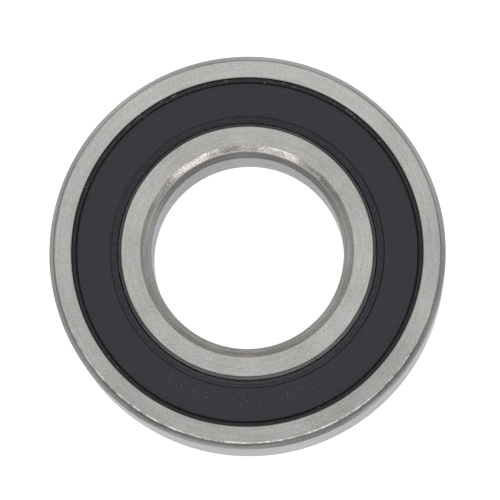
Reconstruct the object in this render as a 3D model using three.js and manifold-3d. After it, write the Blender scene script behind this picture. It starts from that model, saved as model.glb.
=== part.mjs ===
// Deep-groove ball bearing, 35 x 72 x 17 mm, with a rubber contact seal on each side.
// Millimetres. The bearing lies flat: +Z is the shaft axis and the origin is the bearing's centre.

import * as THREE from 'three';
import { mergeVertices } from 'three/addons/utils/BufferGeometryUtils.js';
import Module from 'manifold-3d';

const wasm = await Module();
wasm.setup();

// Boundary dimensions of the standard size.
const BORE_RADIUS = 35 / 2;
const OUTSIDE_RADIUS = 72 / 2;
const HALF_WIDTH = 17 / 2;

// Ball set.
const BALL_COUNT = 9;
const BALL_RADIUS = 11.112 / 2;
const PITCH_RADIUS = 53.5 / 2;
const BALL_PITCH = (2 * Math.PI) / BALL_COUNT;

// Raceways: the groove is a little flatter than the ball, and stands clear of it.
const RACE_ARC_RADIUS = 0.515 * 2 * BALL_RADIUS;
const RACE_CLEARANCE = 0.2;

// Outer ring.
const OUTER_CHAMFER_RADIAL = 1.06;
const OUTER_CHAMFER_AXIAL = 1.25;
const SEAT_RADIUS = 31.85;
const SEAT_GROOVE_RADIUS = 32.75;
const SEAT_LIP_DEPTH = 1.15;
const SEAT_GROOVE_TOP_DEPTH = 1.45;
const SEAT_GROOVE_FLOOR_DEPTH = 2.15;
const SEAT_SHELF_DEPTH = 2.45;
const SEAT_SHELF_RADIUS = 32.3;
const OUTER_LAND_RADIUS = 30.1;

// Inner ring.
const BORE_CHAMFER_FACE_RADIUS = 19.44;
const BORE_CHAMFER_KNEE_RADIUS = 18.36;
const BORE_CHAMFER_KNEE_DEPTH = 0.95;
const BORE_CHAMFER_DEPTH = 3.2;
const INNER_FACE_RADIUS = 22.8;
const SHOULDER_RADIUS = 23.42;
const SHOULDER_EDGE_DEPTH = 0.8;

// Seal: a rubber ring with a bead at its rim and a lip at its bore, stiffened by a steel washer.
const SEAL_FACE_DEPTH = 0.95;
const SEAL_BACK_DEPTH = 1.45;
const SEAL_GAP = 0.15;
const BEAD_RADIUS = 32.5;
const BEAD_NECK_RADIUS = 31.72;
const BEAD_INNER_RADIUS = 31.1;
const BEAD_FOOT_RADIUS = 31.9;
const BEAD_FOOT_DEPTH = 2.25;
const BEAD_LOW_DEPTH = 2.05;
const BEAD_HIGH_DEPTH = 1.65;
const BEAD_NECK_DEPTH = 1.38;
const RIM_SHOULDER_DROP = 0.05;
const RIM_GROOVE_RADIUS = 31;
const RIM_GROOVE_HALF_WIDTH = 0.2;
const RIM_GROOVE_DEPTH = 0.3;
const LIP_GROOVE_RADIUS = 24.8;
const LIP_GROOVE_HALF_WIDTH = 0.15;
const LIP_GROOVE_DEPTH = 0.17;
const LIP_ROOT_RADIUS = 24.7;
const LIP_ROOT_DEPTH = 1.75;
const LIP_CLEARANCE = 0.15;
const LIP_TAPER = 0.6;
const LIP_EDGE_ROUND = 0.05;
const LIP_EDGE_RISE = 0.1;
const LIP_EDGE_HEIGHT = 0.35;
const INSERT_DEPTH = 1.55;
const INSERT_THICKNESS = 0.3;
const INSERT_FLANGE_THICKNESS = 0.35;
const INSERT_FLANGE_HEIGHT = 0.7;

// Cage: two pressed ribbons that meet between the balls and are riveted there.
const SHEET_THICKNESS = 0.6;
const POCKET_CLEARANCE = 0.25;
const RIBBON_RADII = [25, PITCH_RADIUS, 28.5];
const HALF_SEAM = 0.15;
const RIVET_SHANK_RADIUS = 0.75;
const RIVET_HOLE_RADIUS = 1.05;
const RIVET_HEAD_RADIUS = 1.3;
const RIVET_HEAD_HEIGHT = 0.6;
const RIVET_CROWN_RADIUS = 0.9;
const RIVET_CROWN_DROP = 0.15;
const RIVET_HEAD_GAP = 0.1;
const DRILL_LENGTH = 4;

// Fineness of the facets. The ring count is a multiple of four, so the width is true along X and Y.
const RING_SEGMENTS = 48;
const RACE_ARC_STEPS = 4;
const BALL_MERIDIANS = 14;
const BALL_BANDS = 10;
const POCKET_QUARTER_STEPS = 4;
const RIVET_SEGMENTS = 8;

const GROUND_STEEL = { color: 0xababa7, roughness: 0.35, metalness: 1 };
const BALL_STEEL = { color: 0xd2d4d6, roughness: 0.08, metalness: 1 };
const CAGE_STEEL = { color: 0x9a9a98, roughness: 0.45, metalness: 1 };
const RIVET_STEEL = { color: 0x8a8b8c, roughness: 0.4, metalness: 1 };
const INSERT_STEEL = { color: 0x8d9092, roughness: 0.5, metalness: 1 };
const RUBBER = { color: 0x3b3c40, roughness: 0.7, metalness: 0 };

const TOP = 1;
const BOTTOM = -1;

/** A named mesh with a material of its own. */
function piece(name, geometry, finish) {
  const mesh = new THREE.Mesh(geometry, new THREE.MeshStandardMaterial(finish));
  mesh.name = name;
  return mesh;
}

/** A turned piece: [radius, height] corners, anticlockwise, spun about Z and seen from its side. */
function turned(name, section, finish, side = TOP) {
  const outline = [...section, section[0]].map(([radius, height]) => new THREE.Vector2(radius, height));
  const mesh = piece(name, new THREE.LatheGeometry(outline, RING_SEGMENTS), finish);
  mesh.rotation.x = (side * Math.PI) / 2;
  return mesh;
}

/** A whole section from its upper half, which has one end on the mid-plane. */
function withMirror(upper) {
  const lower = upper.filter(([, height]) => height !== 0).map(([radius, height]) => [radius, -height]);
  return [...upper, ...lower.reverse()];
}

/** Upper half of a race groove, from its deepest point to its edge at the given land radius. */
function raceArc(side, landRadius) {
  const bottomRadius = PITCH_RADIUS + side * (BALL_RADIUS + RACE_CLEARANCE);
  const centreRadius = bottomRadius - side * RACE_ARC_RADIUS;
  const edgeAngle = Math.acos((side * (landRadius - centreRadius)) / RACE_ARC_RADIUS);
  return Array.from({ length: RACE_ARC_STEPS + 1 }, (_, step) => {
    const angle = (edgeAngle * step) / RACE_ARC_STEPS;
    return [centreRadius + side * RACE_ARC_RADIUS * Math.cos(angle), RACE_ARC_RADIUS * Math.sin(angle)];
  });
}

/** Outer ring: ground faces and outside, a raceway, and a stepped seat with a snap groove per seal. */
function outerRing() {
  const upper = [
    [OUTSIDE_RADIUS, HALF_WIDTH - OUTER_CHAMFER_AXIAL],
    [OUTSIDE_RADIUS - OUTER_CHAMFER_RADIAL, HALF_WIDTH],
    [SEAT_RADIUS, HALF_WIDTH],
    [SEAT_RADIUS, HALF_WIDTH - SEAT_LIP_DEPTH],
    [SEAT_GROOVE_RADIUS, HALF_WIDTH - SEAT_GROOVE_TOP_DEPTH],
    [SEAT_GROOVE_RADIUS, HALF_WIDTH - SEAT_GROOVE_FLOOR_DEPTH],
    [SEAT_SHELF_RADIUS, HALF_WIDTH - SEAT_SHELF_DEPTH],
    [OUTER_LAND_RADIUS, HALF_WIDTH - SEAT_SHELF_DEPTH],
    ...raceArc(1, OUTER_LAND_RADIUS).reverse(),
  ];
  return turned('outer_ring', withMirror(upper), GROUND_STEEL);
}

/** Inner ring: raceway, rubbing shoulders for the lips, ground faces, and a bore with two-step chamfers. */
function innerRing() {
  const upper = [
    ...raceArc(-1, SHOULDER_RADIUS),
    [SHOULDER_RADIUS, HALF_WIDTH - SHOULDER_EDGE_DEPTH],
    [INNER_FACE_RADIUS, HALF_WIDTH],
    [BORE_CHAMFER_FACE_RADIUS, HALF_WIDTH],
    [BORE_CHAMFER_KNEE_RADIUS, HALF_WIDTH - BORE_CHAMFER_KNEE_DEPTH],
    [BORE_RADIUS, HALF_WIDTH - BORE_CHAMFER_DEPTH],
  ];
  return turned('inner_ring', withMirror(upper), GROUND_STEEL);
}

/** Rubber of one seal: bead in the snap groove, grooved rim, flat face, and a lip close to the shoulder. */
function sealRubber(name, side) {
  const face = HALF_WIDTH - SEAL_FACE_DEPTH;
  const back = HALF_WIDTH - SEAL_BACK_DEPTH;
  const lipRadius = SHOULDER_RADIUS + LIP_CLEARANCE;
  const section = [
    [BEAD_RADIUS, HALF_WIDTH - BEAD_LOW_DEPTH],
    [BEAD_RADIUS, HALF_WIDTH - BEAD_HIGH_DEPTH],
    [BEAD_NECK_RADIUS, HALF_WIDTH - BEAD_NECK_DEPTH],
    [BEAD_NECK_RADIUS, face - RIM_SHOULDER_DROP],
    [RIM_GROOVE_RADIUS + RIM_GROOVE_HALF_WIDTH, face],
    [RIM_GROOVE_RADIUS, face - RIM_GROOVE_DEPTH],
    [RIM_GROOVE_RADIUS - RIM_GROOVE_HALF_WIDTH, face],
    [LIP_GROOVE_RADIUS + LIP_GROOVE_HALF_WIDTH, face],
    [LIP_GROOVE_RADIUS, face - LIP_GROOVE_DEPTH],
    [LIP_GROOVE_RADIUS - LIP_GROOVE_HALF_WIDTH, face],
    [lipRadius + LIP_EDGE_ROUND, face + LIP_EDGE_RISE],
    [lipRadius, face + LIP_EDGE_RISE - LIP_EDGE_HEIGHT],
    [lipRadius + LIP_TAPER, HALF_WIDTH - LIP_ROOT_DEPTH],
    [LIP_ROOT_RADIUS, HALF_WIDTH - LIP_ROOT_DEPTH],
    [LIP_ROOT_RADIUS, back],
    [BEAD_INNER_RADIUS, back],
    [BEAD_INNER_RADIUS, HALF_WIDTH - BEAD_FOOT_DEPTH],
    [BEAD_FOOT_RADIUS, HALF_WIDTH - BEAD_FOOT_DEPTH],
  ];
  return turned(name, section, RUBBER, side);
}

/** Steel washer of one seal, behind the rubber, with its rim turned inwards as a short flange. */
function sealInsert(name, side) {
  const top = HALF_WIDTH - INSERT_DEPTH;
  const outer = BEAD_INNER_RADIUS - SEAL_GAP;
  const section = [
    [outer - INSERT_FLANGE_THICKNESS, top - INSERT_FLANGE_HEIGHT],
    [outer, top - INSERT_FLANGE_HEIGHT],
    [outer, top],
    [LIP_ROOT_RADIUS + SEAL_GAP, top],
    [LIP_ROOT_RADIUS + SEAL_GAP, top - INSERT_THICKNESS],
    [outer - INSERT_FLANGE_THICKNESS, top - INSERT_THICKNESS],
  ];
  return turned(name, section, INSERT_STEEL, side);
}

/** One ball on the pitch circle. */
function ball(index) {
  const angle = index * BALL_PITCH;
  const geometry = new THREE.SphereGeometry(BALL_RADIUS, BALL_MERIDIANS, BALL_BANDS);
  const mesh = piece(`ball_${index + 1}`, geometry, BALL_STEEL);
  mesh.position.set(PITCH_RADIUS * Math.cos(angle), PITCH_RADIUS * Math.sin(angle), 0);
  mesh.rotation.z = angle;
  return mesh;
}

/** A closed three.js geometry as a manifold solid. */
function toSolid(geometry) {
  const bare = geometry.clone();
  bare.deleteAttribute('normal');
  bare.deleteAttribute('uv');
  const merged = mergeVertices(bare);
  return new wasm.Manifold(new wasm.Mesh({
    numProp: 3,
    vertProperties: new Float32Array(merged.attributes.position.array),
    triVerts: new Uint32Array(merged.index.array),
  }));
}

/** A manifold solid as a three.js geometry. */
function toGeometry(solid) {
  const { numProp, vertProperties, triVerts } = solid.getMesh();
  const geometry = new THREE.BufferGeometry();
  geometry.setAttribute('position', new THREE.BufferAttribute(vertProperties, numProp));
  geometry.setIndex(new THREE.BufferAttribute(triVerts, 1));
  geometry.computeVertexNormals();
  return geometry;
}

/** Point of the pressed sheet over radius r of a pocket: turn runs from -1 to 1, foot to foot. */
function pocketPoint(r, sphereRadius, footHeight, pocketAngle, turn) {
  const crown = Math.sqrt(sphereRadius ** 2 - (r - PITCH_RADIUS) ** 2);
  const height = footHeight + (crown - footHeight) * Math.cos((turn * Math.PI) / 2);
  const planSquared = sphereRadius ** 2 - height ** 2;
  const cosine = (r ** 2 + PITCH_RADIUS ** 2 - planSquared) / (2 * r * PITCH_RADIUS);
  const angle = pocketAngle + Math.sign(turn) * Math.acos(Math.min(1, cosine));
  return [r * Math.cos(angle), r * Math.sin(angle), height];
}

/** Closed ribbon of one cage half: a sheet section carried round all pockets, flat between them. */
function ribbonGeometry() {
  const innerSphere = BALL_RADIUS + POCKET_CLEARANCE;
  const outerSphere = innerSphere + SHEET_THICKNESS;
  const outward = [...RIBBON_RADII].reverse();
  const positions = [];
  for (let pocket = 0; pocket < BALL_COUNT; pocket += 1) {
    for (let step = -POCKET_QUARTER_STEPS; step <= POCKET_QUARTER_STEPS; step += 1) {
      const turn = step / POCKET_QUARTER_STEPS;
      const at = (r, sphere, foot) => pocketPoint(r, sphere, foot, pocket * BALL_PITCH, turn);
      RIBBON_RADII.forEach((r) => positions.push(...at(r, innerSphere, HALF_SEAM)));
      outward.forEach((r) => positions.push(...at(r, outerSphere, HALF_SEAM + SHEET_THICKNESS)));
    }
  }
  const ringSize = 2 * RIBBON_RADII.length;
  const stations = positions.length / 3 / ringSize;
  const indices = [];
  for (let station = 0; station < stations; station += 1) {
    for (let corner = 0; corner < ringSize; corner += 1) {
      const here = station * ringSize;
      const there = ((station + 1) % stations) * ringSize;
      const next = (corner + 1) % ringSize;
      indices.push(here + corner, there + corner, here + next);
      indices.push(here + next, there + corner, there + next);
    }
  }
  const geometry = new THREE.BufferGeometry();
  geometry.setAttribute('position', new THREE.Float32BufferAttribute(positions, 3));
  geometry.setIndex(indices);
  return geometry;
}

/** Centre of the rivet that follows the given ball. */
function rivetCentre(index) {
  const angle = (index + 0.5) * BALL_PITCH;
  return new THREE.Vector3(PITCH_RADIUS * Math.cos(angle), PITCH_RADIUS * Math.sin(angle), 0);
}

/** Sheet of one cage half with its rivet holes, as it lies above the mid-plane. */
function cageHalfGeometry() {
  let sheet = toSolid(ribbonGeometry());
  for (let index = 0; index < BALL_COUNT; index += 1) {
    const drill = new THREE.CylinderGeometry(
      RIVET_HOLE_RADIUS, RIVET_HOLE_RADIUS, DRILL_LENGTH, RIVET_SEGMENTS);
    drill.rotateX(Math.PI / 2);
    const { x, y, z } = rivetCentre(index);
    drill.translate(x, y, z);
    sheet = sheet.subtract(toSolid(drill));
  }
  return toGeometry(sheet);
}

/** One cage half; the bottom one is the same pressing turned over. */
function cageHalf(name, geometry, side) {
  const mesh = piece(name, geometry, CAGE_STEEL);
  mesh.rotation.x = side === TOP ? 0 : Math.PI;
  return mesh;
}

/** One rivet: a shank with a low head on each side of the two sheets. */
function rivet(index) {
  const seat = HALF_SEAM + SHEET_THICKNESS + RIVET_HEAD_GAP;
  const crown = seat + RIVET_HEAD_HEIGHT;
  const upper = [
    [RIVET_SHANK_RADIUS, seat],
    [RIVET_HEAD_RADIUS, seat],
    [RIVET_CROWN_RADIUS, crown - RIVET_CROWN_DROP],
    [0, crown],
  ];
  const lower = upper.map(([radius, height]) => [radius, -height]).reverse();
  const outline = [...lower, ...upper].map(([radius, height]) => new THREE.Vector2(radius, height));
  const mesh = piece(`rivet_${index + 1}`, new THREE.LatheGeometry(outline, RIVET_SEGMENTS), RIVET_STEEL);
  mesh.position.copy(rivetCentre(index));
  mesh.rotation.x = Math.PI / 2;
  return mesh;
}

const bearing = new THREE.Group();
bearing.add(outerRing(), innerRing());
bearing.add(sealRubber('seal_rubber_top', TOP), sealRubber('seal_rubber_bottom', BOTTOM));
bearing.add(sealInsert('seal_insert_top', TOP), sealInsert('seal_insert_bottom', BOTTOM));
const cageSheet = cageHalfGeometry();
bearing.add(cageHalf('cage_half_top', cageSheet, TOP), cageHalf('cage_half_bottom', cageSheet, BOTTOM));
for (let index = 0; index < BALL_COUNT; index += 1) {
  bearing.add(ball(index), rivet(index));
}

export default bearing;
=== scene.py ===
"""Deep-groove ball bearing with a rubber contact seal on each side.

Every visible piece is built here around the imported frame: turned rings and seals are swept round
the shaft axis by Geometry Nodes, balls and rivets are repeated by Geometry Nodes, and the cage
ribbon follows a pocket rule. Lengths in the classes are millimetres; meshes are metres.
"""
import logging
import math
from dataclasses import dataclass
from enum import Enum
from typing import Callable, Mapping, Optional, Sequence, Union

import bmesh
import bpy
from bmesh.types import BMesh
from bpy.types import ID, Material, Mesh, Node, NodeSocket, NodeTree, Object
from mathutils import Matrix, Vector


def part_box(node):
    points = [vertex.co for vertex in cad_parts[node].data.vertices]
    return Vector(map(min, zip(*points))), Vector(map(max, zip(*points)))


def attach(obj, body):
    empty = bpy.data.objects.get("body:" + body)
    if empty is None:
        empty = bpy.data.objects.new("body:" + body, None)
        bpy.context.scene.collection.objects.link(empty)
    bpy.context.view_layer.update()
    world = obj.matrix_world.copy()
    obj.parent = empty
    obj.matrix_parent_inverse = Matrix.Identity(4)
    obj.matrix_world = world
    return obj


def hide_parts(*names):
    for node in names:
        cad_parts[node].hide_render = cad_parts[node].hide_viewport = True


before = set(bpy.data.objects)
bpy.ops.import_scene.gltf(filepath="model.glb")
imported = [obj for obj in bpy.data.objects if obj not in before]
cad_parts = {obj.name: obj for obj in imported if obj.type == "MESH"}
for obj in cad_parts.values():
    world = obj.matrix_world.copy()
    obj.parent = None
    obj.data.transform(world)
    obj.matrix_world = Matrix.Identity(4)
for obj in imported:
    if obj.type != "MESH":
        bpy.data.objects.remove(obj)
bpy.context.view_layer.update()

MM = 0.001
SEAM_GAP = 0.002
SEAL_FACE_DEPTH = 0.95
log = logging.getLogger("bearing")

Colour = tuple[float, float, float]
Operand = Union["Signal", float]
Outline = list[tuple[float, float]]
Settings = Mapping[str, object]
Inputs = Mapping[Union[str, int], object]


# ---- Node graphs ----

def operator(kind: str, reflected: bool = False) -> Callable[["Signal", Operand], "Signal"]:
    """Return a Signal operator that adds one kind of Math node, with the other value first if reflected."""
    def method(self: "Signal", other: Operand) -> "Signal":
        """Return the Math node's result."""
        return self.graph.math(kind, other, self) if reflected else self.graph.math(kind, self, other)

    return method


class Signal:
    """A node socket that adds its own Math nodes when it stands in an expression."""

    def __init__(self, graph: "Graph", socket: NodeSocket) -> None:
        """Wrap an output socket of one of the graph's nodes."""
        self.graph = graph
        self.socket = socket

    __add__ = operator("ADD")
    __radd__ = operator("ADD", reflected=True)
    __sub__ = operator("SUBTRACT")
    __rsub__ = operator("SUBTRACT", reflected=True)
    __mul__ = operator("MULTIPLY")
    __rmul__ = operator("MULTIPLY", reflected=True)
    __truediv__ = operator("DIVIDE")
    __rtruediv__ = operator("DIVIDE", reflected=True)

    def __abs__(self) -> "Signal":
        """Return the absolute value."""
        return self.graph.math("ABSOLUTE", self)

    def clamped(self) -> "Signal":
        """Return the value held between 0 and 1."""
        return self.graph.math("ADD", self, 0.0, clamp=True)

    def ramp(self, low: float, high: float) -> "Signal":
        """Return a smooth step of the value.

        Args:
            low: the value that gives 0.
            high: the value that gives 1; it may be less than low.

        Returns:
            A signal between 0 and 1.
        """
        if low > high:
            return 1 - self.ramp(high, low)
        inputs = {"Value": self, "From Min": low, "From Max": high}
        return self.graph.signal("ShaderNodeMapRange", inputs, {"interpolation_type": "SMOOTHSTEP"})

    def band(self, centre: float, half_width: float) -> "Signal":
        """Return 1 at the centre, falling smoothly to 0 half_width away."""
        return abs(self - centre).ramp(half_width, 0.0)


class Graph:
    """A node tree with one method that adds any node, and short forms for the common ones."""

    def __init__(self, tree: NodeTree) -> None:
        """Wrap a shader, world or geometry node tree."""
        self.tree = tree

    def add(
        self,
        kind: str,
        inputs: Optional[Inputs] = None,
        settings: Optional[Settings] = None,
    ) -> Node:
        """Add a node, set its settings, then set or link its sockets.

        Args:
            kind: the node's type name.
            inputs: a value, Signal, node or socket for each input, by name or index.
            settings: attribute values, such as a Math node's operation.

        Returns:
            The new node.
        """
        node = self.tree.nodes.new(kind)
        for name, value in (settings or {}).items():
            setattr(node, name, value)
        for key, value in (inputs or {}).items():
            self.feed(node.inputs[key], value)
        return node

    def signal(
        self,
        kind: str,
        inputs: Optional[Inputs] = None,
        settings: Optional[Settings] = None,
    ) -> Signal:
        """Add a node as add() does and return its first output."""
        return Signal(self, self.add(kind, inputs, settings).outputs[0])

    def feed(self, socket: NodeSocket, value: object) -> None:
        """Link a socket to a Signal, a node's first output or another socket, or set its constant value."""
        if isinstance(value, Signal):
            self.tree.links.new(value.socket, socket)
        elif isinstance(value, Node):
            self.tree.links.new(value.outputs[0], socket)
        elif isinstance(value, NodeSocket):
            self.tree.links.new(value, socket)
        else:
            socket.default_value = value

    def math(self, operation: str, *operands: Operand, clamp: bool = False) -> Signal:
        """Return the result of a Math node on one, two or three operands."""
        settings = {"operation": operation, "use_clamp": clamp}
        return self.signal("ShaderNodeMath", dict(enumerate(operands)), settings)

    def combine(self, x: Operand, y: Operand, z: Operand) -> Signal:
        """Return the vector with the given parts."""
        return self.signal("ShaderNodeCombineXYZ", {"X": x, "Y": y, "Z": z})

    def polar(self, radius: Operand, angle: Signal, height: Operand = 0.0) -> Signal:
        """Return the point at a radius and an angle about the shaft axis."""
        return self.combine(radius * self.math("COSINE", angle), radius * self.math("SINE", angle), height)

    def separate(self, vector: Signal) -> tuple[Signal, Signal, Signal]:
        """Return the three parts of a vector."""
        node = self.add("ShaderNodeSeparateXYZ", {0: vector})
        return tuple(Signal(self, node.outputs[index]) for index in range(3))

    def noise(self, vector: Signal, scale: float, detail: float = 2.0, roughness: float = 0.5) -> Signal:
        """Return noise about 0.5 over a vector; roughness is the strength of each finer octave."""
        inputs = {"Vector": vector, "Scale": scale, "Detail": detail, "Roughness": roughness}
        return self.signal("ShaderNodeTexNoise", inputs, {"noise_dimensions": "3D"})

    def mix(self, factor: Operand, first: object, second: object) -> Signal:
        """Return a colour mixed from the first towards the second."""
        node = self.add("ShaderNodeMix", {0: factor, 6: rgba(first), 7: rgba(second)}, {"data_type": "RGBA"})
        return Signal(self, node.outputs[2])

    def scaled(self, vector: object, factor: Operand) -> Signal:
        """Return a colour or vector with each part multiplied by the factor."""
        return self.signal("ShaderNodeVectorMath", {0: vector, "Scale": factor}, {"operation": "SCALE"})


def rgba(colour: object) -> object:
    """Return a three-part colour with an alpha of 1, and anything else unchanged."""
    return (*colour, 1.0) if isinstance(colour, tuple) and len(colour) == 3 else colour


# ---- Finishes ----

class Place:
    """Where a shaded point stands on the bearing, in millimetres about the shaft axis."""

    def __init__(self, graph: Graph) -> None:
        """Read Object coordinates and work out the radius, bearing and height."""
        coordinates = graph.add("ShaderNodeTexCoord").outputs["Object"]
        self.graph = graph
        self.point = graph.scaled(coordinates, 1 / MM)
        self.x, self.y, self.z = graph.separate(self.point)
        self.radius = graph.math("SQRT", self.x * self.x + self.y * self.y)
        self.cosine = self.x / self.radius
        self.sine = self.y / self.radius
        self.depth = abs(self.z)

    def streaks(self, lines_per_mm: float, breaks: float, seed: float = 0.0, detail: float = 3.0) -> Signal:
        """Return marks left by turning or grinding about the axis.

        Args:
            lines_per_mm: how many marks lie side by side in a millimetre.
            breaks: how often a mark changes along its way round.
            seed: moves the pattern.
            detail: the number of finer octaves.

        Returns:
            A value about 0.5.
        """
        across = (self.radius + 0.37 * self.z) * lines_per_mm + seed
        vector = self.graph.combine(across, self.cosine * breaks, self.sine * breaks)
        return self.graph.noise(vector, 1.0, detail, 0.6)

    def scratches(self, heading: float, across: float, along: float, threshold: float, seed: float) -> Signal:
        """Return thin straight scratches that all run one way.

        Args:
            heading: their direction in degrees from +X.
            across: the frequency across them, per millimetre.
            along: the frequency along them, per millimetre.
            threshold: the noise level above which a scratch shows.
            seed: moves the pattern.

        Returns:
            1 in a scratch and 0 elsewhere.
        """
        turn = math.radians(heading)
        run = self.x * math.cos(turn) + self.y * math.sin(turn)
        side = self.y * math.cos(turn) - self.x * math.sin(turn)
        vector = self.graph.combine(run * along, side * across, self.z * along + seed)
        return self.graph.noise(vector, 1.0, 1.0, 0.5).ramp(threshold, threshold + 0.05)


@dataclass(frozen=True)
class Finish:
    """A surface finish that makes one material."""

    name: str
    colour: Colour
    roughness: float

    def material(self) -> Material:
        """Make the material with its shader graph.

        Returns:
            The new material.
        """
        material = bpy.data.materials.new(self.name)
        material.use_nodes = True
        material.node_tree.nodes.clear()
        graph = Graph(material.node_tree)
        shader = graph.add("ShaderNodeBsdfPrincipled")
        output = graph.add("ShaderNodeOutputMaterial")
        graph.feed(output.inputs["Surface"], shader.outputs["BSDF"])
        self.shade(graph, shader)
        return material

    def shade(self, graph: Graph, shader: Node) -> None:
        """Feed the Principled shader; each kind of finish has its own way."""
        raise NotImplementedError

    def darker(self, share: float) -> Colour:
        """Return the finish's colour with each part multiplied by a share."""
        return tuple(share * part for part in self.colour)

    def dress(
        self,
        graph: Graph,
        shader: Node,
        colour: Signal,
        roughness: Signal,
        metallic: float = 1.0,
    ) -> None:
        """Feed the shader's colour and roughness.

        Args:
            graph: the material's graph.
            shader: its Principled BSDF.
            colour: the base colour.
            roughness: the roughness, which is held between 0 and 1.
            metallic: 1 for metal and 0 for rubber.
        """
        graph.feed(shader.inputs["Base Color"], colour)
        graph.feed(shader.inputs["Roughness"], roughness.clamped())
        graph.feed(shader.inputs["Metallic"], metallic)

    def bump(self, graph: Graph, shader: Node, height: Signal, distance: float) -> None:
        """Feed the shader's normal from a height; a height of 1 stands for the distance, in metres."""
        node = graph.add("ShaderNodeBump", {"Height": height, "Distance": distance, "Strength": 1.0})
        graph.feed(shader.inputs["Normal"], node.outputs["Normal"])


class RingRegions:
    """Masks, each 0 to 1, for the regions of a ring's surface."""

    def __init__(self, steel: "GroundSteel", place: Place) -> None:
        """Work out every mask from the steel's radii and where the point stands."""
        radius = place.radius
        bore_wall, outside_wall = steel.wall_radii
        bore_edge = steel.bore_edge
        self.face = place.depth.ramp(steel.face_height - 0.10, steel.face_height - 0.03)
        self.wall = (radius.ramp(bore_wall + 0.05, bore_wall + 0.01)
                     + radius.ramp(outside_wall - 0.12, outside_wall - 0.01)).clamped()
        self.turned = (1 - self.face) * (1 - self.wall)
        self.outside = radius.ramp(steel.split_radius, steel.split_radius + 1.0)
        self.inside = 1 - self.outside
        self.edge = (radius.band(steel.outer_edge, 0.35)
                     * place.depth.ramp(steel.face_height - 0.5, steel.face_height))
        self.facet = (radius.ramp(bore_edge + 0.12, bore_edge - 0.02)
                      * radius.ramp(bore_edge - 1.05, bore_edge - 0.75) * (1 - self.wall))
        self.lead_in = radius.ramp(*steel.lead_in_radii)
        self.shoulder = radius.ramp(bore_edge + 1.0, bore_edge + 1.5)
        # Painted shade on the outer ring's seat edge and the inner ring's face edge, dimming their
        # highlights.
        self.edge_shade_band = radius.band(steel.shaded_edge_radii[0], 0.2) + radius.band(steel.shaded_edge_radii[1], 0.2)
        # Bands of painted shade just inside the outer edge; foot is used only towards -Y.
        self.rim = radius.band(steel.outer_edge + 0.2, 0.22)
        self.foot = radius.band(steel.outer_edge + 0.36, 0.42)
        self.top = place.sine.ramp(0.0, 0.9)
        self.bottom = place.sine.ramp(0.0, -0.9)


class SteelMarks:
    """What grinding, turning and handling leave on a ring, each a noise about 0.5 or a mask; the breaks and
    patches noises only break up painted highlight and shade.
    """

    def __init__(self, place: Place, outside: Signal) -> None:
        """Make every mark; outside keeps the two rings' sectors apart."""
        noise = place.graph.noise
        combine = place.graph.combine
        self.fine = place.streaks(7.0, 5.0)
        self.coarse = place.streaks(2.2, 2.4, seed=37.0)
        self.grain = noise(place.point, 5.0, 3.0, 0.7)
        self.chatter = noise(place.point, 3.6, 3.0, 0.6)
        self.blotch = noise(place.point, 0.42, 4.0, 0.6)
        # Breaks up the painted highlight on the outer edge.
        self.breaks = noise(place.point, 0.55, 4.0, 0.7).ramp(0.36, 0.62)
        # Patches of painted shade on the bore facet towards +Y.
        self.shade_patches = noise(place.point, 0.3, 2.0, 0.6).ramp(0.42, 0.56)
        self.sectors = noise(combine(place.cosine, place.sine, outside), 1.7, 3.0, 0.6)
        honed = combine(place.z * 0.42, place.cosine * 1.3, place.sine * 1.3)
        self.honing = noise(honed, 1.0, 3.0, 0.7)
        self.scratch = (place.scratches(38.0, 5.0, 0.5, 0.71, 11.0)
                        + place.scratches(-57.0, 6.0, 0.6, 0.72, 53.0)
                        + place.scratches(9.0, 5.5, 0.45, 0.73, 91.0)).clamped()


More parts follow.
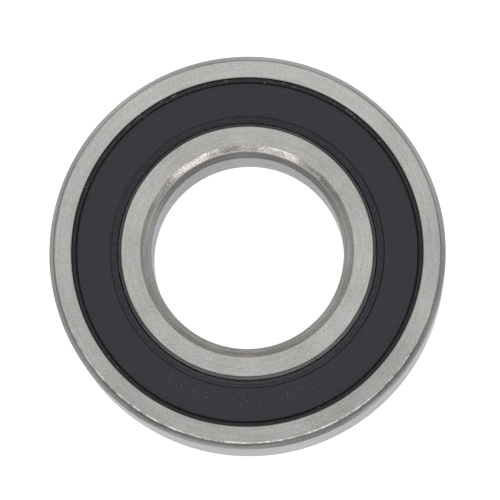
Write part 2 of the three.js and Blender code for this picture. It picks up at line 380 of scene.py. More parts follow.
@dataclass(frozen=True)
class GroundSteel(Finish):
    """Hardened ring steel: ground faces, turned chamfers darkened by heat, honed bore and outside.

    Radii and heights are millimetres. Lines, grain, painted-light, shadow, gain and loss fields are weights
    on the steel's lightness. The face, chamfer and shoulder weights, the shadows and the edge's gain and loss
    paint light and shade.
    """

    face_height: float = 8.5
    split_radius: float = 26.0
    outer_edge: float = 34.94
    bore_edge: float = 19.44
    lead_in_radii: tuple[float, float] = (18.42, 18.2)
    wall_radii: tuple[float, float] = (17.5, 36.0)
    shaded_edge_radii: tuple[float, float] = (31.92, 22.86)
    outer_chamfer: Colour = (0.302, 0.297, 0.288)
    bore_chamfer: Colour = (0.545, 0.522, 0.488)
    lead_in: Colour = (0.325, 0.322, 0.312)
    shoulder: Colour = (0.36, 0.36, 0.358)
    wall: Colour = (0.385, 0.385, 0.388)
    tarnish: Colour = (0.56, 0.552, 0.55)
    grazing_tint: Colour = (0.6, 0.6, 0.615)
    base_level: float = 0.97
    fine_lines: float = 0.55
    coarse_lines: float = 0.3
    turned_lines: float = 0.8
    honed_lines: float = 0.5
    grain: float = 1.1
    sectors: float = 0.5
    blotches: float = 0.12
    scratches: float = 0.14
    face_painted_light: float = 0.12
    chamfer_painted_light: float = 0.26
    shoulder_painted_light: float = 0.16
    rim_shadow: float = 0.35
    foot_shadow: float = 0.32
    edge_shadow: float = 0.55
    patch_shadow: float = 0.3
    lead_in_shadow: float = 0.42
    glint_gain: float = 1.15
    glint_loss: float = 0.3
    outside_gain: float = 0.06
    inside_gain: float = 0.03
    relief_depth: float = 0.000012

    def tint(self, graph: Graph, at: RingRegions, marks: SteelMarks) -> Signal:
        """Return the colour of the region that a point lies in."""
        bore_side = graph.mix(at.lead_in, self.bore_chamfer, self.lead_in)
        inner = graph.mix(at.shoulder, bore_side, self.shoulder)
        chamfer = graph.mix(at.outside, inner, self.outer_chamfer)
        ground = graph.mix(marks.blotch.ramp(0.45, 0.65), self.colour, self.tarnish)
        return graph.mix(at.wall, graph.mix(at.face, chamfer, ground), self.wall)

    def level(self, place: Place, at: RingRegions, marks: SteelMarks) -> Signal:
        """Return how light the steel is, where 1 is its plain colour, with painted light and shade.

        Args:
            place: where the point stands.
            at: the masks of the ring's regions.
            marks: the marks on the steel.

        Returns:
            A factor for the colour.
        """
        # Painted light: faces, outer chamfer and inner shoulder are lighter towards +Y and darker towards -Y.
        lean = (at.outside * (self.face_painted_light * at.face + self.chamfer_painted_light * at.turned)
                + self.shoulder_painted_light * at.shoulder * at.inside * at.turned)
        level = (self.base_level + lean * place.sine
                 + self.fine_lines * (marks.fine - 0.5)
                 + (self.coarse_lines + self.turned_lines * at.turned) * (marks.coarse - 0.5)
                 + self.honed_lines * at.wall * (marks.honing - 0.5)
                 + self.grain * (marks.grain - 0.5)
                 + self.sectors * (marks.sectors - 0.5)
                 + self.blotches * (marks.blotch - 0.5)
                 + self.scratches * marks.scratch)
        # Painted shade in bands just inside the outer edge, the second only towards -Y.
        level = level * (1 - self.rim_shadow * at.rim * at.turned)
        level = level * (1 - self.foot_shadow * at.bottom * at.foot * at.turned)
        # Painted shade at the seat edge and the inner face edge.
        level = level * (1 - self.edge_shadow * at.edge_shade_band)
        # Painted highlight on the outer edge towards -Y, broken up, with a little painted shade in its gaps.
        level = level * (1 + at.edge * at.bottom * (self.glint_gain * marks.breaks - self.glint_loss))
        # Painted shade in patches on the bore facet towards +Y.
        level = level * (1 - self.patch_shadow * at.facet * at.top * marks.shade_patches)
        # Painted shade on the lead-in towards +Y.
        level = level * (1 - self.lead_in_shadow * at.top * at.lead_in * at.turned)
        return level * (1 + self.outside_gain * at.wall * at.outside + self.inside_gain * at.inside)

    def shade(self, graph: Graph, shader: Node) -> None:
        """Feed colour, roughness and grooves by region."""
        place = Place(graph)
        at = RingRegions(self, place)
        marks = SteelMarks(place, at.outside)
        colour = graph.scaled(self.tint(graph, at, marks), self.level(place, at, marks))
        roughness = (self.roughness + 0.10 * (1 - at.face) - 0.12 * at.wall - 0.25 * at.facet - 0.06 * at.edge
                     + 0.20 * (marks.fine - 0.5) + 0.20 * (marks.grain - 0.5) - 0.10 * marks.scratch)
        self.dress(graph, shader, colour, roughness)
        graph.feed(shader.inputs["Specular Tint"], rgba(self.grazing_tint))
        relief = (0.6 * marks.fine + 0.8 * marks.coarse + 0.5 * marks.scratch
                  + (0.6 + 1.4 * (1 - at.face)) * marks.grain)
        crinkle = 4.5 * at.facet + 9.0 * at.edge * (0.2 + 0.8 * at.bottom)
        relief = relief * (1 - 0.85 * at.wall) + crinkle * (marks.chatter - 0.5)
        self.bump(graph, shader, relief, self.relief_depth)


@dataclass(frozen=True)
class PressedSteel(Finish):
    """Cold-pressed sheet or headed wire, with a dull grain."""

    stain: float = 0.8
    relief_depth: float = 0.000008

    def shade(self, graph: Graph, shader: Node) -> None:
        """Feed colour, roughness and grain."""
        place = Place(graph)
        grain = graph.noise(place.point, 6.0, 4.0, 0.65)
        blotch = graph.noise(place.point, 0.5, 3.0)
        tint = graph.mix(blotch.ramp(0.4, 0.7), self.colour, self.darker(self.stain))
        colour = graph.scaled(tint, 0.85 + 0.3 * grain)
        self.dress(graph, shader, colour, self.roughness + 0.25 * (grain - 0.5))
        self.bump(graph, shader, grain, self.relief_depth)


@dataclass(frozen=True)
class PolishedSteel(Finish):
    """Lapped ball steel with the faintest haze."""

    stain: float = 0.93

    def shade(self, graph: Graph, shader: Node) -> None:
        """Feed colour and roughness."""
        haze = graph.noise(Place(graph).point, 1.2, 3.0)
        colour = graph.mix(haze, self.colour, self.darker(self.stain))
        self.dress(graph, shader, colour, self.roughness + 0.08 * (haze - 0.5))


@dataclass(frozen=True)
class MouldedRubber(Finish):
    """Matte nitrile rubber, with a glossier rim, mould marks, light flecks of flash and dust, painted
    highlights, and painted shade and light in the lip groove.
    """

    rim_radius: float = 31.0
    trim_radius: float = 31.62
    lip_radius: float = 24.82
    face_height: float = 7.55
    # Colour of the light flecks, also used for painted highlights.
    fleck: Colour = (0.16, 0.17, 0.18)
    lip_colour: Colour = (0.0235, 0.026, 0.0355)
    base_level: float = -0.55
    skin: float = 2.4
    rim_shadow: float = 0.62
    groove_shadow: float = 0.9
    relief_depth: float = 0.00002

    def shade(self, graph: Graph, shader: Node) -> None:
        """Feed colour, roughness and skin by region."""
        place = Place(graph)
        rim = place.radius.ramp(self.rim_radius - 0.05, self.rim_radius + 0.2)
        lip = place.radius.ramp(self.lip_radius, self.lip_radius - 0.2)
        raised = place.depth.ramp(self.face_height + 0.01, self.face_height + 0.05) * (1 - rim) * (1 - lip)
        skin = graph.noise(place.point, 3.6, 4.0, 0.7)
        cloud = graph.noise(place.point, 0.22, 3.0, 0.55)
        mottle = graph.noise(place.point, 1.7, 3.0, 0.6)
        dust = graph.noise(place.point, 3.1, 1.0)
        rings = place.streaks(3.2, 1.2, seed=5.0)
        scratch = (place.scratches(24.0, 4.0, 0.35, 0.70, 7.0)
                   + place.scratches(-41.0, 4.5, 0.4, 0.71, 71.0)).clamped()
        trim = place.streaks(2.6, 26.0, seed=17.0, detail=2.0).ramp(0.56, 0.64)
        trim_glint_band = place.radius.band(self.trim_radius, 0.22) * place.sine.ramp(0.3, 0.9)
        # Light flecks: flash on the rim and dust elsewhere; on the raised ticks they are painted highlight,
        # and on the trim edge towards +Y they are mould flash with painted highlight.
        flecks = (graph.noise(place.point, 2.3, 2.0).ramp(0.66, 0.74) * rim
                  + 0.6 * dust.ramp(0.79, 0.83) * (1 - rim)
                  + 0.9 * raised * skin.ramp(0.46, 0.56)
                  + 0.7 * trim * trim_glint_band).clamped()
        level = (self.base_level + self.skin * skin + 0.2 * cloud + 0.14 * rings + 0.6 * scratch
                 - self.rim_shadow * rim + lip * (2.4 * mottle - 1.32))
        # Painted shade and light in the lip groove: darker towards +X and -Y, lighter towards -X and +Y.
        lean = 0.1 + 0.7 * place.cosine - 0.4 * place.sine
        level = level * (1 - self.groove_shadow * place.radius.band(self.lip_radius, 0.16) * lean)
        base = graph.scaled(graph.mix(lip, self.colour, self.lip_colour), level)
        roughness = self.roughness - 0.25 * rim - 0.08 * lip + 0.18 * (skin - 0.5) + 0.1 * (cloud - 0.5)
        self.dress(graph, shader, graph.mix(flecks, base, self.fleck), roughness, metallic=0.0)
        relief = 0.8 * skin + 0.5 * rings + 0.6 * scratch + flecks
        self.bump(graph, shader, relief, self.relief_depth)


class FinishOf(Enum):
    """The finishes of the bearing's pieces, each with the record's material slot."""

    RING = ("ring_steel", GroundSteel("ground_ring_steel", (0.575, 0.565, 0.54), 0.33))
    BALL = ("ball_steel", PolishedSteel("polished_ball_steel", (0.62, 0.63, 0.65), 0.09))
    CAGE = ("cage_steel", PressedSteel("pressed_cage_steel", (0.42, 0.42, 0.41), 0.42))
    RIVET = ("rivet_steel", PressedSteel("headed_rivet_steel", (0.36, 0.36, 0.37), 0.38))
    INSERT = ("insert_steel", PressedSteel("seal_insert_steel", (0.34, 0.35, 0.36), 0.48))
    RUBBER = ("seal_rubber", MouldedRubber("moulded_seal_rubber", (0.026, 0.028, 0.036), 0.62))

    @property
    def slot(self) -> str:
        """Return the record's material slot."""
        return self.value[0]

    @property
    def material(self) -> Material:
        """Return the finish's material, made once."""
        finish = self.value[1]
        return bpy.data.materials.get(finish.name) or finish.material()


# ---- Sections and node-built meshes ----

@dataclass(frozen=True)
class Corner:
    """One corner of a turned section, in millimetres, and the radius it is rounded to."""

    radius: float
    height: float
    rounding: float = 0.0


def rounded_outline(rows: Sequence[tuple[float, ...]], steps: int = 6, guard: float = 0.04) -> Outline:
    """Round a closed section's corners with arcs.

    Args:
        rows: each corner's fields, anticlockwise with the radius to the right and the height up.
        steps: the number of chords in each arc.
        guard: how far beyond an arc the flat beside it gets one more point, which keeps it flat.

    Returns:
        The outline's points as (radius, height).
    """
    corners = [Corner(*row) for row in rows]
    outline: Outline = []
    for index, corner in enumerate(corners):
        here = Vector((corner.radius, corner.height))
        if corner.rounding == 0.0:
            outline.append(tuple(here))
            continue
        before = corners[index - 1]
        after = corners[(index + 1) % len(corners)]
        back = (Vector((before.radius, before.height)) - here).normalized()
        ahead = (Vector((after.radius, after.height)) - here).normalized()
        half_angle = back.angle(ahead) / 2
        reach = corner.rounding / math.tan(half_angle)
        centre = here + (back + ahead).normalized() * (corner.rounding / math.sin(half_angle))
        first = here + back * reach - centre
        sweep = first.angle_signed(here + ahead * reach - centre)
        outline.append(tuple(here + back * (reach + guard)))
        for step in range(steps + 1):
            spoke = Matrix.Rotation(-sweep * step / steps, 2) @ first
            outline.append(tuple(centre + spoke))
        outline.append(tuple(here + ahead * (reach + guard)))
    return outline


def with_mirror(upper: Outline) -> Outline:
    """Return a whole outline from its upper half, which has one end on the mid-plane."""
    lower = [(radius, -height) for radius, height in reversed(upper) if height != 0.0]
    return upper + lower


def linked(name: str, data: ID) -> Object:
    """Return a new object that holds the data and is linked to the scene."""
    item = bpy.data.objects.new(name, data)
    bpy.context.scene.collection.objects.link(item)
    return item


class NodeShape:
    """A Geometry Nodes tree with named inputs that turns a seed mesh into a plain mesh."""

    def __init__(self, name: str, sizes: Sequence[str], counts: Sequence[str] = ()) -> None:
        """Start the tree.

        Args:
            name: the tree's name.
            sizes: the names of its inputs that are lengths, angles or factors.
            counts: the names of its inputs that are whole numbers.
        """
        self.tree = bpy.data.node_groups.new(name, "GeometryNodeTree")
        self.graph = Graph(self.tree)
        interface = self.tree.interface
        interface.new_socket("Geometry", in_out="OUTPUT", socket_type="NodeSocketGeometry")
        interface.new_socket("Geometry", in_out="INPUT", socket_type="NodeSocketGeometry")
        for kind, names in (("Float", sizes), ("Int", counts), ("Material", ["Material"])):
            for label in names:
                interface.new_socket(label, in_out="INPUT", socket_type=f"NodeSocket{kind}")
        self.inputs = self.graph.add("NodeGroupInput").outputs

    def size(self, name: str) -> Signal:
        """Return one of the named inputs."""
        return Signal(self.graph, self.inputs[name])

    def end(self, shape: Node) -> None:
        """Close the tree after the shape's last node: real instances, smooth shading, the material."""
        real = self.graph.add("GeometryNodeRealizeInstances", {0: shape})
        smooth = self.graph.add("GeometryNodeSetShadeSmooth", {0: real})
        inputs = {0: smooth, "Material": self.inputs["Material"]}
        dressed = self.graph.add("GeometryNodeSetMaterial", inputs)
        self.graph.add("NodeGroupOutput", {0: dressed})

    def make(
        self,
        name: str,
        finish: FinishOf,
        values: Mapping[str, object],
        seed: Optional[Mesh] = None,
    ) -> Object:
        """Run the tree and keep the result as a plain mesh object.

        Args:
            name: the finished piece's name.
            finish: its finish.
            values: a value for each other input.
            seed: the mesh that the tree starts from, for a tree that needs one.

        Returns:
            The piece, at the origin, with no modifiers.
        """
        source = linked(f"{name}_source", seed or bpy.data.meshes.new("empty_seed"))
        modifier = source.modifiers.new("shape", "NODES")
        modifier.node_group = self.tree
        settings = {**values, "Material": finish.material}
        for item in self.tree.interface.items_tree:
            if item.in_out == "INPUT" and item.name in settings:
                modifier[item.identifier] = settings[item.name]
        graph = bpy.context.evaluated_depsgraph_get()
        mesh = bpy.data.meshes.new_from_object(source.evaluated_get(graph), depsgraph=graph)
        bpy.data.objects.remove(source)
        mesh.name = name
        return linked(name, mesh)


def finished(source: BMesh, name: str) -> Mesh:
    """Return a new mesh made from a bmesh, which is freed."""
    mesh = bpy.data.meshes.new(name)
    source.to_mesh(mesh)
    source.free()
    return mesh


def outline_mesh(outline: Outline, centre_radius: float) -> Mesh:
    """Return a closed loop of edges that a circular path carries round the axis.

    Args:
        outline: (radius, height) points in millimetres, anticlockwise.
        centre_radius: the path's radius in millimetres.

    Returns:
        The loop as a mesh, in metres from the path.
    """
    points = [((radius - centre_radius) * MM, -height * MM, 0.0) for radius, height in reversed(outline)]
    edges = [(index, (index + 1) % len(points)) for index in range(len(points))]
    mesh = bpy.data.meshes.new("section")
    mesh.from_pydata(points, edges, [])
    return mesh


class TurnedShape(NodeShape):
    """A section carried round the shaft axis, with a small wander near one radius."""

    PATH_RADIUS = 30.0

    def __init__(self) -> None:
        """Build the tree."""
        sizes = ["Path Radius", "Wander", "Wander Radius", "Wander Reach"]
        super().__init__("turned_shape", sizes, ["Segments"])
        graph = self.graph
        circle = {"Resolution": self.inputs["Segments"], "Radius": self.inputs["Path Radius"]}
        path = graph.add("GeometryNodeCurvePrimitiveCircle", circle, {"mode": "RADIUS"})
        section = graph.add("GeometryNodeMeshToCurve", {0: self.inputs["Geometry"]})
        sweep = graph.add("GeometryNodeCurveToMesh", {"Curve": path, "Profile Curve": section})
        self.end(self.wandered(sweep))

    def wandered(self, shape: Node) -> Node:
        """Move the points near the wander radius in and out, as a soft lip does.

        Args:
            shape: the node that makes the swept shape.

        Returns:
            The node that moves its points.
        """
        graph = self.graph
        x, y, _ = graph.separate(graph.signal("GeometryNodeInputPosition"))
        radius = graph.math("SQRT", x * x + y * y)
        away = abs(radius - self.size("Wander Radius")) / self.size("Wander Reach")
        turn = graph.combine(x / radius, y / radius, 0.0)
        move = (graph.noise(turn, 12.0, 3.0) - 0.5) * self.size("Wander") * (1 - away).clamped()
        offset = graph.combine(x / radius * move, y / radius * move, 0.0)
        return graph.add("GeometryNodeSetPosition", {"Geometry": shape, "Offset": offset})

    def turn(
        self,
        name: str,
        outline: Outline,
        finish: FinishOf,
        segments: int,
        wander: tuple[float, float, float] = (0.0, 1.0, 1.0),
    ) -> Object:
        """Turn a section into a piece.

        Args:
            name: the piece's name.
            outline: its section, (radius, height) in millimetres, anticlockwise.
            finish: its finish.
            segments: the number of steps round the axis.
            wander: how far points wander, about which radius, and within what reach, in millimetres.

        Returns:
            The finished piece.
        """
        amount, radius, reach = wander
        return self.make(name, finish, {
            "Path Radius": self.PATH_RADIUS * MM,
            "Segments": segments,
            "Wander": amount * MM,
            "Wander Radius": radius * MM,
            "Wander Reach": reach * MM,
        }, outline_mesh(outline, self.PATH_RADIUS))


class BallShape(NodeShape):
    """One ball on the pitch circle."""

    def __init__(self) -> None:
        """Build the tree."""
        super().__init__("ball_shape", ["Ball Radius", "Pitch Radius", "Angle"])
        graph = self.graph
        sphere = graph.add("GeometryNodeMeshIcoSphere", {
            "Radius": self.inputs["Ball Radius"], "Subdivisions": 5})
        centre = graph.polar(self.size("Pitch Radius"), self.size("Angle"))
        self.end(graph.add("GeometryNodeTransform", {0: sphere, "Translation": centre}))


class ArcRowShape(NodeShape):
    """The seed shape repeated about the shaft axis; Turned is 1 where each copy turns to its place."""

    def __init__(self) -> None:
        """Build the tree."""
        sizes = ["Row Radius", "Height", "First Angle", "Step", "Turned"]
        super().__init__("arc_row_shape", sizes, ["Count"])
        graph = self.graph
        line = graph.add("GeometryNodeMeshLine", {"Count": self.inputs["Count"]})
        angle = self.size("First Angle") + graph.signal("GeometryNodeInputIndex") * self.size("Step")
        place = graph.polar(self.size("Row Radius"), angle, self.size("Height"))
        row = graph.add("GeometryNodeSetPosition", {"Geometry": line, "Position": place})
        turn = graph.combine(0.0, 0.0, angle * self.size("Turned"))
        inputs = {"Points": row, "Instance": self.inputs["Geometry"], "Rotation": turn}
        self.end(graph.add("GeometryNodeInstanceOnPoints", inputs))


class RibbonShape(NodeShape):
    """The middle surface of a cage half: flat between the balls and domed round each of them."""

    def __init__(self) -> None:
        """Build the tree."""
        sizes = ["Pitch Radius", "Pocket Radius", "Inner Radius", "Outer Radius", "Web Height", "Blend"]
        super().__init__("ribbon_shape", [*sizes, "Side"], ["Count", "Steps Round", "Steps Across"])
        graph = self.graph
        grid = graph.add("GeometryNodeMeshGrid", {
            "Size X": 1.0, "Size Y": 1.0,
            "Vertices X": self.inputs["Steps Round"], "Vertices Y": self.inputs["Steps Across"]})
        u, v, _ = graph.separate(graph.signal("GeometryNodeInputPosition"))
        angle = (u + 0.5) * (2 * math.pi)
        inner = self.size("Inner Radius")
        radius = inner + (v + 0.5) * (self.size("Outer Radius") - inner)
        pitch = 2 * math.pi / self.size("Count")
        swing = angle - graph.math("ROUND", angle / pitch) * pitch
        centre = self.size("Pitch Radius")
        plan = radius * radius + centre * centre - 2 * radius * centre * graph.math("COSINE", swing)
        pocket = self.size("Pocket Radius")
        dome = graph.math("SQRT", graph.math("MAXIMUM", pocket * pocket - plan, 0.0))
        height = graph.math("SMOOTH_MAX", dome, self.size("Web Height"), self.size("Blend"))
        place = graph.polar(radius, angle, height * self.size("Side"))
        bent = graph.add("GeometryNodeSetPosition", {"Geometry": grid, "Position": place})
        self.end(graph.add("GeometryNodeMergeByDistance", {0: bent, "Distance": SEAM_GAP * MM}))


# ---- Sub-assemblies ----

def settle(piece: Object, body: str, finish: FinishOf, nodes: Sequence[str]) -> None:
    """Fix a finished piece to its body and hide the CAD nodes that it stands for.

    Args:
        piece: the finished piece.
        body: the moving body it rides on.
        finish: its finish, which names the record's slot.
        nodes: the CAD nodes that it stands for; none for a small added detail.
    """
    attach(piece, body)
    if nodes:
        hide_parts(*nodes)
    finish.slot
    faces = len(piece.data.polygons)
    log.info("%s rides on %s with %d faces", piece.name, body, faces)


def race_arc(bottom: float, land: float, arc_radius: float, side: int, steps: int = 24) -> Outline:
    """Return the upper half of a race groove, from its deepest point to its edge.

    Args:
        bottom: the radius of the groove's deepest point.
        land: the radius of the land beside the groove.
        arc_radius: the groove's own radius.
        side: 1 where the groove opens towards the axis, -1 where it opens outwards.
        steps: the number of chords.

    Returns:
        The outline's points.
    """
    centre = bottom - side * arc_radius
    edge = math.acos(side * (land - centre) / arc_radius)
    points = []
    for step in range(steps + 1):
        angle = edge * step / steps
        points.append((centre + side * arc_radius * math.cos(angle), arc_radius * math.sin(angle)))
    return points


class Side(Enum):
    """The two sides of the bearing's mid-plane."""

    TOP = 1
    BOTTOM = -1

    @property
    def label(self) -> str:
        """Return the side's part of a piece's name."""
        return self.name.lower()


@dataclass
class BallGeometry:
    """The sizes that the balls, races and cage share, in millimetres."""

    count: int = 9
    ball_radius: float = 5.556
    pitch_radius: float = 26.75
    race_clearance: float = 0.05
    race_arc_radius: float = 5.72

    @property
    def pitch_angle(self) -> float:
        """Return the angle from one ball to the next."""
        return 2 * math.pi / self.count

    def race_bottom(self, side: int) -> float:
        """Return the deepest radius of the outer (1) or inner (-1) race."""
        return self.pitch_radius + side * (self.ball_radius + self.race_clearance)


@dataclass
class Ring:
    """A ground ring that is the same above and below the mid-plane, named after its body."""

    balls: BallGeometry
    half_width: float

    def upper_section(self) -> Outline:
        """Return the section's upper half; each ring has its own."""
        raise NotImplementedError

    def build_as(self, node: str, shape: TurnedShape, segments: int) -> None:
        """Turn the ring in place of its CAD node and settle it on the body of that name."""
        piece = shape.turn(f"{node}_steel", with_mirror(self.upper_section()), FinishOf.RING, segments)
        settle(piece, node, FinishOf.RING, [node])


@dataclass
class OuterRing(Ring):
    """Outer ring with its raceway and two stepped seal seats."""

    outside_radius: float
    chamfer_radial: float = 1.06
    chamfer_axial: float = 1.25
    seat_radius: float = 31.88
    groove_radius: float = 32.75
    shelf_radius: float = 32.3
    shelf_depth: float = 2.45
    land_radius: float = 30.1
    segments: int = 288

    def upper_section(self) -> Outline:
        """Return the section's upper half, from the outside to the raceway's bottom."""
        top = self.half_width
        corners = [
            (self.outside_radius, 0.0), (self.outside_radius, top - self.chamfer_axial, 0.9),
            (self.outside_radius - self.chamfer_radial, top, 0.55), (self.seat_radius, top, 0.12),
            (self.seat_radius, top - 1.15, 0.06), (self.groove_radius, top - 1.45, 0.1),
            (self.groove_radius, top - 2.15, 0.1), (self.shelf_radius, top - self.shelf_depth, 0.1),
            (self.land_radius, top - self.shelf_depth, 0.15), (self.land_radius, 0.0),
        ]
        outline = rounded_outline(corners)[1:-1]
        arc = race_arc(self.balls.race_bottom(1), self.land_radius, self.balls.race_arc_radius, 1)
        return outline + arc[::-1]

    def build(self, shape: TurnedShape) -> None:
        """Turn the ring and settle it on its body."""
        self.build_as("outer_ring", shape, self.segments)


@dataclass
class InnerRing(Ring):
    """Inner ring with its raceway, rubbing shoulders and two-step bore chamfers."""

    bore_radius: float = 17.5
    chamfer_face_radius: float = 19.44
    chamfer_knee_radius: float = 18.36
    chamfer_knee_depth: float = 0.95
    chamfer_depth: float = 3.2
    face_radius: float = 22.8
    shoulder_radius: float = 23.42
    shoulder_depth: float = 0.8
    segments: int = 256

    def upper_section(self) -> Outline:
        """Return the section's upper half, from the raceway's bottom to the bore."""
        top = self.half_width
        corners = [
            (self.shoulder_radius, 0.0), (self.shoulder_radius, top - self.shoulder_depth, 0.12),
            (self.face_radius, top, 0.12), (self.chamfer_face_radius, top, 0.12),
            (self.chamfer_knee_radius, top - self.chamfer_knee_depth, 0.3),
            (self.bore_radius, top - self.chamfer_depth, 0.4), (self.bore_radius, 0.0),
        ]
        outline = rounded_outline(corners)[1:-1]
        arc = race_arc(self.balls.race_bottom(-1), self.shoulder_radius, self.balls.race_arc_radius, -1)
        return arc + outline

    def build(self, shape: TurnedShape) -> None:
        """Turn the ring and settle it on its body."""
        self.build_as("inner_ring", shape, self.segments)


@dataclass
class Seal:
    """One contact seal: moulded rubber over a steel washer."""

    side: Side
    half_width: float
    shoulder_radius: float
    lip_clearance: float = 0.13
    lip_wander: float = 0.2
    wander_reach: float = 0.9
    rubber_segments: int = 400
    washer_segments: int = 192

    @property
    def lip_radius(self) -> float:
        """Return the radius of the lip's edge, just clear of the inner ring's shoulder."""
        return self.shoulder_radius + self.lip_clearance

    def rubber_section(self) -> Outline:
        """Return the rubber's section: bead, grooved rim, flat face and lip."""
        top = self.half_width
        face = top - SEAL_FACE_DEPTH
        lip = self.lip_radius
        corners = [
            (32.5, top - 2.05, 0.12), (32.5, top - 1.65, 0.12), (31.86, top - 1.38, 0.05),
            (31.86, face + 0.06, 0.08), (31.24, face - 0.05, 0.1), (31.0, face - 0.32, 0.03),
            (30.86, face, 0.06), (24.97, face, 0.05), (24.82, face - 0.17, 0.02),
            (24.66, face - 0.04, 0.05), (24.35, face + 0.01, 0.1), (24.17, face - 0.05, 0.06),
            (23.98, face + 0.04, 0.08), (lip + 0.1, face + 0.12, 0.05), (lip, face + 0.05, 0.03),
            (lip, face - 0.3, 0.03), (lip + 0.6, top - 1.75, 0.05), (24.7, top - 1.75, 0.03),
            (24.7, top - 1.45, 0.03), (31.1, top - 1.45, 0.03), (31.1, top - 2.25, 0.03),
            (31.9, top - 2.25, 0.1),
        ]
        return rounded_outline(corners, steps=5, guard=0.015)

    def insert_section(self) -> Outline:
        """Return the washer's section, with its rim turned inwards."""
        top = self.half_width - 1.53
        corners = [
            (30.6, top - 0.72, 0.03), (30.95, top - 0.72, 0.03), (30.95, top, 0.2), (24.85, top, 0.03),
            (24.85, top - 0.3, 0.03), (30.6, top - 0.3, 0.05),
        ]
        return rounded_outline(corners, steps=4, guard=0.01)

    def faced(self, outline: Outline) -> Outline:
        """Return the outline on this seal's side of the bearing, still anticlockwise."""
        if self.side is Side.TOP:
            return outline
        return [(radius, -height) for radius, height in reversed(outline)]

    def build(self, shape: TurnedShape) -> None:
        """Turn the rubber and the washer and settle both on the outer ring."""
        label = self.side.label
        rubber = shape.turn(f"seal_skin_{label}", self.faced(self.rubber_section()), FinishOf.RUBBER,
                            self.rubber_segments, (self.lip_wander, self.lip_radius, self.wander_reach))
        settle(rubber, "outer_ring", FinishOf.RUBBER, [f"seal_rubber_{label}"])
        washer = shape.turn(f"seal_washer_{label}", self.faced(self.insert_section()), FinishOf.INSERT,
                            self.washer_segments)
        settle(washer, "outer_ring", FinishOf.INSERT, [f"seal_insert_{label}"])


@dataclass
class SealTicks:
    """A row of plain raised ticks moulded into the outside face of each seal."""

    face_height: float
    count: int = 13
    row_radius: float = 26.9
    step: float = math.radians(5.2)
    length: float = 1.5
    width: float = 0.24
    relief: float = 0.06
    bevel: float = 0.04

    def seed(self) -> Mesh:
        """Return one tick that points along +X, half of it sunk in the rubber."""
        mesh = bmesh.new()
        bmesh.ops.create_cube(mesh, size=MM)
        bmesh.ops.scale(mesh, vec=(self.length, self.width, 2 * self.relief), verts=mesh.verts)
        bmesh.ops.bevel(mesh, geom=mesh.edges, offset=self.bevel * MM, segments=2, affect="EDGES")
        return finished(mesh, "tick_seed")

    def build(self, shape: ArcRowShape) -> None:
        """Set a row on each seal, centred on -Y, and settle it on the outer ring."""
        for side in Side:
            row = shape.make(f"seal_ticks_{side.label}", FinishOf.RUBBER, {
                "Count": self.count,
                "Row Radius": self.row_radius * MM,
                "Height": side.value * self.face_height * MM,
                "First Angle": -math.pi / 2 - self.step * (self.count - 1) / 2,
                "Step": self.step,
                "Turned": 1.0,
            }, self.seed())
            settle(row, "outer_ring", FinishOf.RUBBER, [])


@dataclass
class BallSet:
    """The balls, one piece for each because each one turns by itself."""

    balls: BallGeometry

    def build(self, shape: BallShape) -> None:
        """Make each ball and settle it on its own body."""
        for index in range(self.balls.count):
            node = f"ball_{index + 1}"
            piece = shape.make(f"{node}_steel", FinishOf.BALL, {
                "Ball Radius": self.balls.ball_radius * MM,
                "Pitch Radius": self.balls.pitch_radius * MM,
                "Angle": index * self.balls.pitch_angle,
            })
            settle(piece, node, FinishOf.BALL, [node])


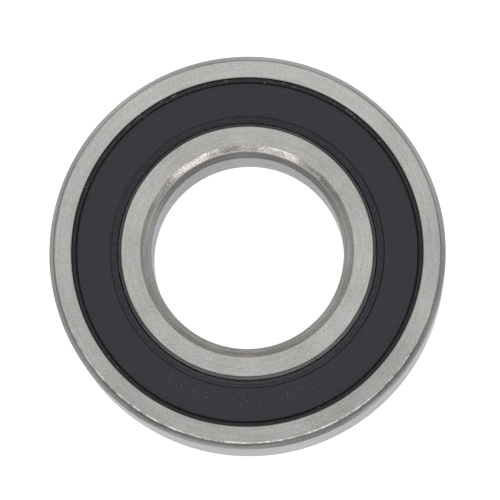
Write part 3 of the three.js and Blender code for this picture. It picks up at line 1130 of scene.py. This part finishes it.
@dataclass
class Cage:
    """Two pressed ribbons riveted together between the balls."""

    balls: BallGeometry
    sheet: float = 0.6
    pocket_clearance: float = 0.25
    half_seam: float = 0.05
    inner_radius: float = 25.0
    outer_radius: float = 28.5
    blend: float = 0.5
    rivet_shank: float = 0.75
    rivet_head: float = 1.3
    rivet_height: float = 0.6
    rivet_brim: float = 0.15
    rivet_gap: float = 0.02
    steps_per_ball: int = 64
    steps_across: int = 9

    def ribbon(self, shape: RibbonShape, side: Side) -> Object:
        """Make one half: the middle surface, given its sheet thickness and soft edges."""
        middle = self.balls.ball_radius + self.pocket_clearance + self.sheet / 2
        piece = shape.make(f"cage_ribbon_{side.label}", FinishOf.CAGE, {
            "Count": self.balls.count,
            "Pitch Radius": self.balls.pitch_radius * MM,
            "Pocket Radius": middle * MM,
            "Web Height": (self.half_seam + self.sheet / 2) * MM,
            "Inner Radius": self.inner_radius * MM,
            "Outer Radius": self.outer_radius * MM,
            "Blend": self.blend * MM,
            "Side": float(side.value),
            "Steps Round": self.balls.count * self.steps_per_ball + 1,
            "Steps Across": self.steps_across,
        })
        wall = piece.modifiers.new("sheet", "SOLIDIFY")
        wall.thickness = self.sheet * MM
        wall.offset = 0.0
        graph = bpy.context.evaluated_depsgraph_get()
        solid = bpy.data.meshes.new_from_object(piece.evaluated_get(graph), depsgraph=graph)
        piece.modifiers.clear()
        piece.data = solid
        mesh = bmesh.new()
        mesh.from_mesh(solid)
        self.face_outwards(mesh, 0.001)
        mesh.to_mesh(solid)
        mesh.free()
        return piece

    def face_outwards(self, mesh: BMesh, reach: float) -> None:
        """Merge a bmesh's doubles within a reach in millimetres and point its faces out."""
        bmesh.ops.remove_doubles(mesh, verts=mesh.verts, dist=reach * MM)
        bmesh.ops.recalc_face_normals(mesh, faces=mesh.faces)

    def rivet_seed(self) -> Mesh:
        """Return one rivet, turned about its own axis, with its middle on the mid-plane."""
        seat = self.half_seam + self.sheet + self.rivet_gap
        brim = seat + self.rivet_brim
        crown = seat + self.rivet_height
        turns = [math.pi / 12 * step for step in range(6)]
        dome = [(self.rivet_head * math.cos(turn), brim + (crown - brim) * math.sin(turn)) for turn in turns]
        shank = [(self.rivet_shank, 0.0), (self.rivet_shank, seat), (self.rivet_head, seat)]
        upper = [*shank, *dome, (0.0, crown)]
        lower = [(radius, -height) for radius, height in reversed(upper[1:])]
        mesh = bmesh.new()
        points = [mesh.verts.new((radius * MM, 0.0, height * MM)) for radius, height in lower + upper]
        edges = [mesh.edges.new(pair) for pair in zip(points, points[1:])]
        bmesh.ops.spin(mesh, geom=points + edges, axis=(0, 0, 1), cent=(0, 0, 0), steps=24, angle=2 * math.pi)
        self.face_outwards(mesh, 0.01)
        return finished(mesh, "rivet_seed")

    def build(self, ribbon: RibbonShape, rivets: ArcRowShape) -> None:
        """Make both halves and the rivets and settle them on the cage."""
        for side in Side:
            settle(self.ribbon(ribbon, side), "cage", FinishOf.CAGE, [f"cage_half_{side.label}"])
        row = rivets.make("cage_rivets", FinishOf.RIVET, {
            "Count": self.balls.count,
            "Row Radius": self.balls.pitch_radius * MM,
            "First Angle": self.balls.pitch_angle / 2,
            "Step": self.balls.pitch_angle,
        }, self.rivet_seed())
        settle(row, "cage", FinishOf.RIVET, [f"rivet_{index + 1}" for index in range(self.balls.count)])


# ---- Studio ----

@dataclass(frozen=True)
class Softbox:
    """One soft light in front of the bearing, in degrees, metres and watts."""

    name: str
    bearing: float
    height: float
    size: float
    power: float


@dataclass
class Studio:
    """Plain pale floor, soft light from above, and a long lens close to the shaft axis."""

    floor_height: float
    camera_distance: float = 0.75
    focal_length: float = 294.8
    lean_forward: float = 7.7
    lean_right: float = 1.7
    aim: tuple[float, float] = (0.284, 1.309)
    floor_size: float = 6.0
    floor_gap: float = 0.02
    floor_colour: Colour = (0.6, 0.6, 0.6)
    floor_glow: float = 0.85
    horizon: float = 0.46
    zenith: float = 0.76
    light_distance: float = 1.0
    softboxes: tuple[Softbox, ...] = (
        Softbox("high_left_softbox", -22.0, 0.75, 0.60, 1.6),
        Softbox("high_right_softbox", 26.0, 0.75, 0.60, 1.6),
        Softbox("low_left_softbox", -24.0, 0.28, 0.28, 0.6),
        Softbox("low_right_softbox", 35.0, 0.28, 0.28, 0.78),
    )

    def floor(self) -> None:
        """Make the floor a hair below the bearing."""
        half = self.floor_size / 2
        height = self.floor_height - self.floor_gap * MM
        mesh = bpy.data.meshes.new("floor")
        corners = [(-half, -half), (half, -half), (half, half), (-half, half)]
        mesh.from_pydata([(x, y, height) for x, y in corners], [], [(0, 1, 2, 3)])
        material = bpy.data.materials.new("pale_floor")
        material.use_nodes = True
        shader = material.node_tree.nodes["Principled BSDF"]
        looks = {
            "Base Color": rgba(self.floor_colour),
            "Roughness": 1.0,
            "Specular IOR Level": 0.0,
            "Emission Color": (1.0, 1.0, 1.0, 1.0),
            "Emission Strength": self.floor_glow,
        }
        for name, value in looks.items():
            shader.inputs[name].default_value = value
        mesh.materials.append(material)
        floor = linked("floor", mesh)

    def world(self) -> None:
        """Light the scene softly from all round, brighter from above."""
        world = bpy.data.worlds.new("soft_room")
        world.use_nodes = True
        world.node_tree.nodes.clear()
        graph = Graph(world.node_tree)
        direction = Signal(graph, graph.add("ShaderNodeTexCoord").outputs["Generated"])
        _, _, up = graph.separate(direction)
        level = self.horizon + (self.zenith - self.horizon) * up.ramp(0.0, 0.9)
        grey = graph.combine(level, level, level)
        background = graph.add("ShaderNodeBackground", {"Color": grey})
        graph.add("ShaderNodeOutputWorld", {"Surface": background.outputs[0]})
        bpy.context.scene.world = world

    def hang(self, softbox: Softbox) -> None:
        """Add a square area light that faces the bearing."""
        turn = math.radians(softbox.bearing)
        across, ahead = math.sin(turn) * self.light_distance, math.cos(turn) * self.light_distance
        place = Vector((across, -ahead, softbox.height))
        light = bpy.data.lights.new(softbox.name, "AREA")
        light.shape = "SQUARE"
        light.size = softbox.size
        light.energy = softbox.power
        lamp = linked(softbox.name, light)
        lamp.location = place
        lamp.rotation_euler = (-place).to_track_quat("-Z", "Y").to_euler()

    def camera(self) -> None:
        """Set the camera a little off the shaft axis, with +Y up in the picture."""
        right_tilt = math.sin(math.radians(self.lean_right))
        front_tilt = -math.sin(math.radians(self.lean_forward))
        away = Vector((right_tilt, front_tilt, math.sqrt(1 - right_tilt ** 2 - front_tilt ** 2)))
        right = Vector((0.0, 1.0, 0.0)).cross(away).normalized()
        up = away.cross(right)
        target = Vector((self.aim[0] * MM, self.aim[1] * MM, 0.0))
        place = target + away * self.camera_distance
        data = bpy.data.cameras.new("camera")
        data.lens = self.focal_length
        data.sensor_width = 36.0
        data.clip_start = 0.01
        data.clip_end = 20.0
        camera = linked("camera", data)
        camera.matrix_world = Matrix.Translation(place) @ Matrix((right, up, away)).transposed().to_4x4()
        bpy.context.scene.camera = camera

    def build(self) -> None:
        """Set up the floor, the light and the camera."""
        self.floor()
        self.world()
        for softbox in self.softboxes:
            self.hang(softbox)
        self.camera()
        bpy.context.scene.view_settings.view_transform = "Standard"


def main() -> None:
    """Build the bearing from the frame outwards, then the studio."""
    logging.basicConfig(level=logging.INFO, format="%(message)s")
    low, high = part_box("outer_ring")
    half_width = high[2] / MM
    balls = BallGeometry()
    turned = TurnedShape()
    inner = InnerRing(balls, half_width)
    OuterRing(balls, half_width, outside_radius=high[0] / MM).build(turned)
    inner.build(turned)
    for side in Side:
        Seal(side, half_width, inner.shoulder_radius).build(turned)
    row = ArcRowShape()
    SealTicks(half_width - SEAL_FACE_DEPTH).build(row)
    BallSet(balls).build(BallShape())
    Cage(balls).build(RibbonShape(), row)
    Studio(floor_height=low[2]).build()


if __name__ == "__main__":
    main()
